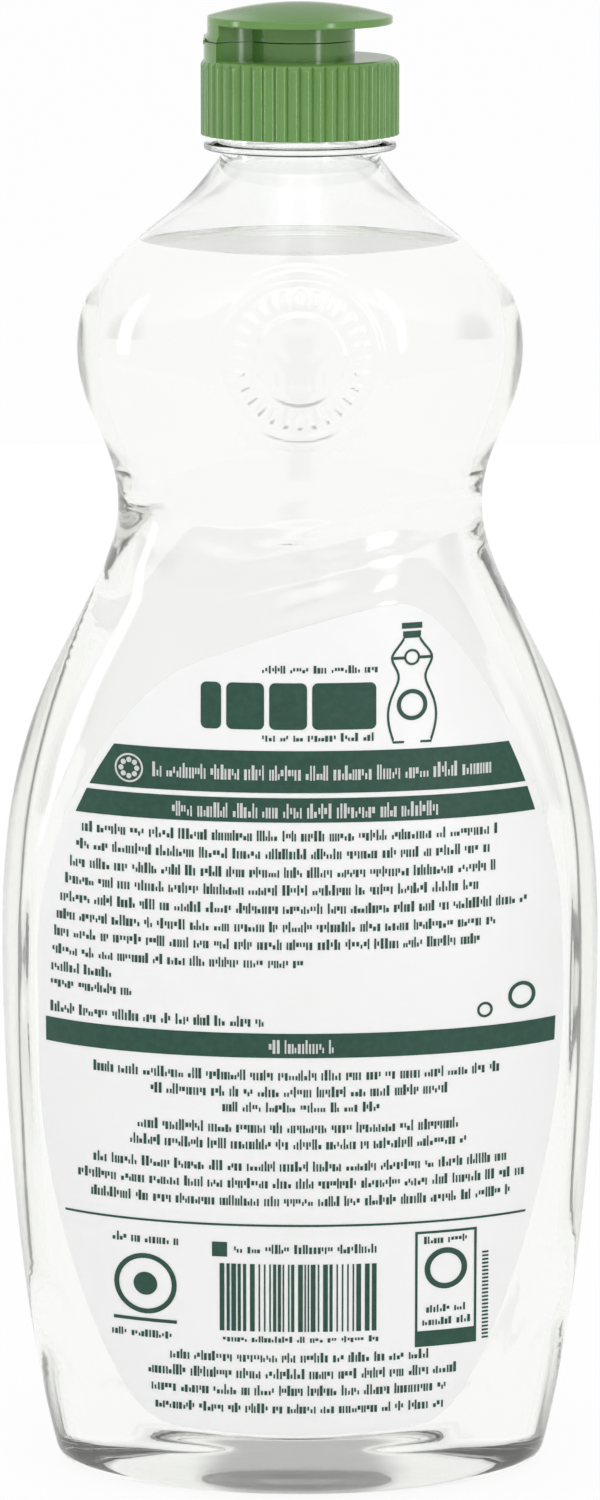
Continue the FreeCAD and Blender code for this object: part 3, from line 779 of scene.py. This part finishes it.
room = bpy.data.worlds.new("room")
room.use_nodes = True
bpy.context.scene.world = room
nodes, links = room.node_tree.nodes, room.node_tree.links
nodes.clear()
way = nodes.new("ShaderNodeTexCoord")
parts = nodes.new("ShaderNodeSeparateXYZ")
aside = nodes.new("ShaderNodeMath")
aside.operation = "ABSOLUTE"
shade = nodes.new("ShaderNodeMapRange")
shade.interpolation_type = "SMOOTHSTEP"
shade.inputs["From Min"].default_value = 0.94
shade.inputs["From Max"].default_value = 1.0
shade.inputs["To Min"].default_value = 1.0
shade.inputs["To Max"].default_value = 0.05
white = nodes.new("ShaderNodeBackground")
white.inputs["Color"].default_value = (1, 1, 1, 1)
beyond = nodes.new("ShaderNodeBackground")
beyond.inputs["Color"].default_value = (1, 1, 1, 1)
fill = nodes.new("ShaderNodeBackground")
fill.inputs["Color"].default_value = (1, 1, 1, 1)
fill_shade = nodes.new("ShaderNodeMapRange")
fill_shade.inputs["From Min"].default_value = 0.3
fill_shade.inputs["From Max"].default_value = 1.0
fill_shade.inputs["To Min"].default_value = 1.0
fill_shade.inputs["To Max"].default_value = 0.35
ray = nodes.new("ShaderNodeLightPath")
clear = nodes.new("ShaderNodeMath")
clear.operation = "MAXIMUM"
through = nodes.new("ShaderNodeMixShader")
seen = nodes.new("ShaderNodeMixShader")
out = nodes.new("ShaderNodeOutputWorld")
links.new(way.outputs["Generated"], parts.inputs[0])
links.new(parts.outputs["X"], aside.inputs[0])
links.new(aside.outputs[0], shade.inputs["Value"])
ceiling = nodes.new("ShaderNodeMapRange")
ceiling.interpolation_type = "SMOOTHSTEP"
ceiling.inputs["From Min"].default_value = 0.05
ceiling.inputs["From Max"].default_value = 0.12
ceiling.inputs["To Max"].default_value = 0.5
straight_on = nodes.new("ShaderNodeMapRange")
straight_on.interpolation_type = "SMOOTHSTEP"
straight_on.inputs["From Min"].default_value = 0.12
straight_on.inputs["From Max"].default_value = 0.06
grey_patch = nodes.new("ShaderNodeMath")
grey_patch.operation = "MULTIPLY"
light_left = nodes.new("ShaderNodeMath")
light_left.operation = "SUBTRACT"
light_left.inputs[0].default_value = 1.0
beyond_level = nodes.new("ShaderNodeMath")
beyond_level.operation = "MULTIPLY"
links.new(parts.outputs["Z"], ceiling.inputs["Value"])
links.new(aside.outputs[0], straight_on.inputs["Value"])
links.new(ceiling.outputs[0], grey_patch.inputs[0])
links.new(straight_on.outputs[0], grey_patch.inputs[1])
links.new(grey_patch.outputs[0], light_left.inputs[1])
links.new(shade.outputs[0], beyond_level.inputs[0])
links.new(light_left.outputs[0], beyond_level.inputs[1])
links.new(beyond_level.outputs[0], beyond.inputs["Strength"])
links.new(aside.outputs[0], fill_shade.inputs["Value"])
links.new(fill_shade.outputs[0], fill.inputs["Strength"])
links.new(ray.outputs["Is Glossy Ray"], clear.inputs[0])
links.new(ray.outputs["Is Transmission Ray"], clear.inputs[1])
links.new(clear.outputs[0], through.inputs[0])
links.new(fill.outputs[0], through.inputs[1])
links.new(beyond.outputs[0], through.inputs[2])
links.new(ray.outputs["Is Camera Ray"], seen.inputs[0])
links.new(through.outputs[0], seen.inputs[1])
links.new(white.outputs[0], seen.inputs[2])
links.new(seen.outputs[0], out.inputs["Surface"])


# ---------------------------------------------------------------- lights
# A tall strip stands at the left and one at the front right, which draw the
# streaks on the cap. Wide soft boxes hang in front, above and behind.

SOFT_BOXES = (  # name, place in metres, width, height, power, shows in gloss
    ("left_strip", (-1.25, -0.07, 0.3), 0.34, 1.1, 9.0, True),
    ("right_strip", (0.8, -1.0, 0.3), 0.34, 1.1, 9.0, True),
    ("front_box", (0.0, -1.7, 1.0), 1.3, 0.9, 9.0, True),
    ("top_box", (0.0, -0.35, 1.25), 1.0, 1.0, 5.0, True),
    ("back_box", (0.0, 1.2, 0.2), 0.9, 0.6, 8.0, False),
)
for name, place, wide, high, power, glossy in SOFT_BOXES:
    lamp = bpy.data.lights.new(name, "AREA")
    lamp.shape = "RECTANGLE"
    lamp.size = wide
    lamp.size_y = high
    lamp.energy = power
    lamp.use_nodes = True
    nodes, links = lamp.node_tree.nodes, lamp.node_tree.links
    face = nodes.new("ShaderNodeNewGeometry")
    from_middle = nodes.new("ShaderNodeVectorMath")
    from_middle.operation = "DISTANCE"
    from_middle.inputs[1].default_value = (0.5, 0.5, 0)
    fade = nodes.new("ShaderNodeMapRange")
    fade.interpolation_type = "SMOOTHSTEP"
    fade.inputs["From Min"].default_value = 0.5
    fade.inputs["From Max"].default_value = 0.05
    links.new(face.outputs["Parametric"], from_middle.inputs[0])
    links.new(from_middle.outputs["Value"], fade.inputs["Value"])
    links.new(fade.outputs[0], nodes["Emission"].inputs["Strength"])
    holder = bpy.data.objects.new(name, lamp)
    bpy.context.scene.collection.objects.link(holder)
    holder.location = place
    towards = Vector((0, 0, 0.13)) - Vector(place)
    holder.rotation_euler = towards.to_track_quat("-Z", "Y").to_euler()
    holder.visible_transmission = False
    holder.visible_glossy = glossy
    holder.visible_camera = False


# ---------------------------------------------------------------- camera
# A long lens a little above the bottle, at the photograph's angle.

lens = bpy.data.cameras.new("camera")
lens.lens = 168
lens.sensor_width = 36
lens.clip_end = 50
camera = bpy.data.objects.new("camera", lens)
bpy.context.scene.collection.objects.link(camera)
camera.location = (0, -1.09844, 0.31637)
camera.rotation_euler = (math.radians(79.7), 0, 0)
bpy.context.scene.camera = camera
bpy.context.scene.view_settings.view_transform = "Standard"

# Light crosses eight clear faces on its way through, and comes back
bpy.context.scene.cycles.max_bounces = 32
bpy.context.scene.cycles.transmission_bounces = 32
bpy.context.scene.cycles.glossy_bounces = 16

bpy.context.view_layer.update()
